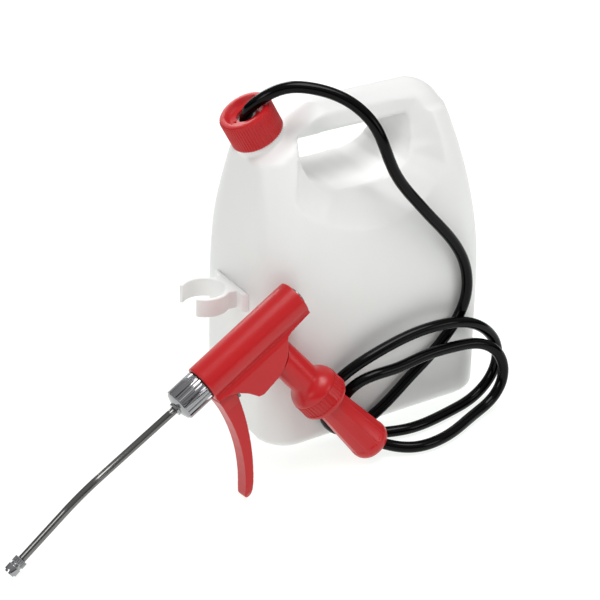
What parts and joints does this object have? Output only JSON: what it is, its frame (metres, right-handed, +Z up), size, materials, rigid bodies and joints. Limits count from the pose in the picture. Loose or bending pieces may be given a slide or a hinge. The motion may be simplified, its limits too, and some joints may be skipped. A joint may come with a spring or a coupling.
{
  "type": "canister sprayer with hand pump gun",
  "caption": "Plastic canister with a through handle and screw cap, joined by a coiled hose to a trigger pump gun with a bent steel lance and a small nozzle.",
  "frame": {"origin": "centre of the can's base, on the floor", "axes": "+X along the can's length away from the neck and the clip, -Y towards the gun and the hose's turns, +Z up"},
  "size_m": [0.4717, 0.1872, 0.3097],
  "materials": {
    "can": "satin blow-moulded polyethylene",
    "clip": "satin",
    "red": "semi-gloss moulded",
    "seal": "matt",
    "gland": "satin",
    "natural": "satin",
    "hose": "glossy PVC",
    "chrome": "polished",
    "steel": "drawn",
    "brass": "turned"
  },
  "bodies": {
    "can": {"tank": "can", "gun_clip": "clip", "hose_gland": "gland", "suction_tube": "natural", "strainer": "gland", "hose": "hose", "gun_housing": "red", "pump_body": "red", "barrel_plug": "steel", "front_seal": "seal", "lance_washer": "seal", "trigger_pins": "steel", "piston_bush": "natural", "intake_seat": "brass", "return_spring": "steel", "outlet_spring": "steel", "grip": "red", "grip_gasket": "seal", "hose_barb": "brass"},
    "cap_lift": {"cap_gasket": "seal"},
    "cap": {"cap": "red"},
    "lance_nut": {"lance_nut": "chrome"},
    "lance": {"lance_tube": "steel"},
    "nozzle": {"nozzle": "chrome", "swirl_core": "brass"},
    "trigger": {"trigger": "red"},
    "piston": {"piston": "steel", "piston_seal": "seal"},
    "union_ring": {"union_ring": "red"},
    "intake_ball": {"intake_ball": "steel"},
    "outlet_ball": {"outlet_ball": "steel"}
  },
  "joints": [
    {"name": "cap_lift", "type": "slide", "parent": "can", "child": "cap_lift", "axis": [-0.4617, 0, 0.887], "range_m": [0, 0.0005]},
    {"name": "cap_turn", "type": "hinge", "parent": "cap_lift", "child": "cap", "pos_m": [-0.08573, 0, 0.2697], "axis": [-0.4617, 0, 0.887], "range_deg": [0, 45]},
    {"name": "trigger_pull", "type": "hinge", "parent": "can", "child": "trigger", "pos_m": [-0.16951, -0.08218, 0.10713], "axis": [0, -0.9816, 0.1908], "range_deg": [0, 22], "stiffness_Nm_per_rad": 0.3, "springref_deg": -17.19, "deforming": ["return_spring"]},
    {"name": "piston_slide", "type": "slide", "parent": "can", "child": "piston", "axis": [0.8813, 0.0902, 0.4639], "range_m": [0, 0.0088], "deforming": ["return_spring"]},
    {"name": "lance_nut_turn", "type": "hinge", "parent": "can", "child": "lance_nut", "pos_m": [-0.19337, -0.08418, 0.0968], "axis": [-0.8813, -0.0902, -0.4639], "range_deg": [0, 360]},
    {"name": "lance_swivel", "type": "hinge", "parent": "can", "child": "lance", "pos_m": [-0.19954, -0.08482, 0.09355], "axis": [-0.8813, -0.0902, -0.4639], "continuous": true},
    {"name": "nozzle_turn", "type": "hinge", "parent": "lance", "child": "nozzle", "pos_m": [-0.34856, -0.10117, 0.00944], "axis": [-0.832, -0.1059, -0.5447], "range_deg": [0, 270]},
    {"name": "union_ring_turn", "type": "hinge", "parent": "can", "child": "union_ring", "pos_m": [-0.07934, -0.08958, 0.06901], "axis": [0.6157, -0.1504, -0.7735], "range_deg": [0, 360]},
    {"name": "intake_valve", "type": "slide", "parent": "can", "child": "intake_ball", "axis": [-0.6157, 0.1504, 0.7735], "range_m": [0, 0.0015]},
    {"name": "outlet_valve", "type": "slide", "parent": "can", "child": "outlet_ball", "axis": [-0.8813, -0.0902, -0.4639], "range_m": [0, 0.002], "stiffness_N_per_m": 50, "springref_m": -0.002, "deforming": ["outlet_spring"]}
  ],
  "couplings": [
    {"joint": "cap_lift", "follows": "cap_turn", "m_per_rad": 0.0006366},
    {"joint": "piston_slide", "follows": "trigger_pull", "m_per_rad": 0.022917}
  ]
}
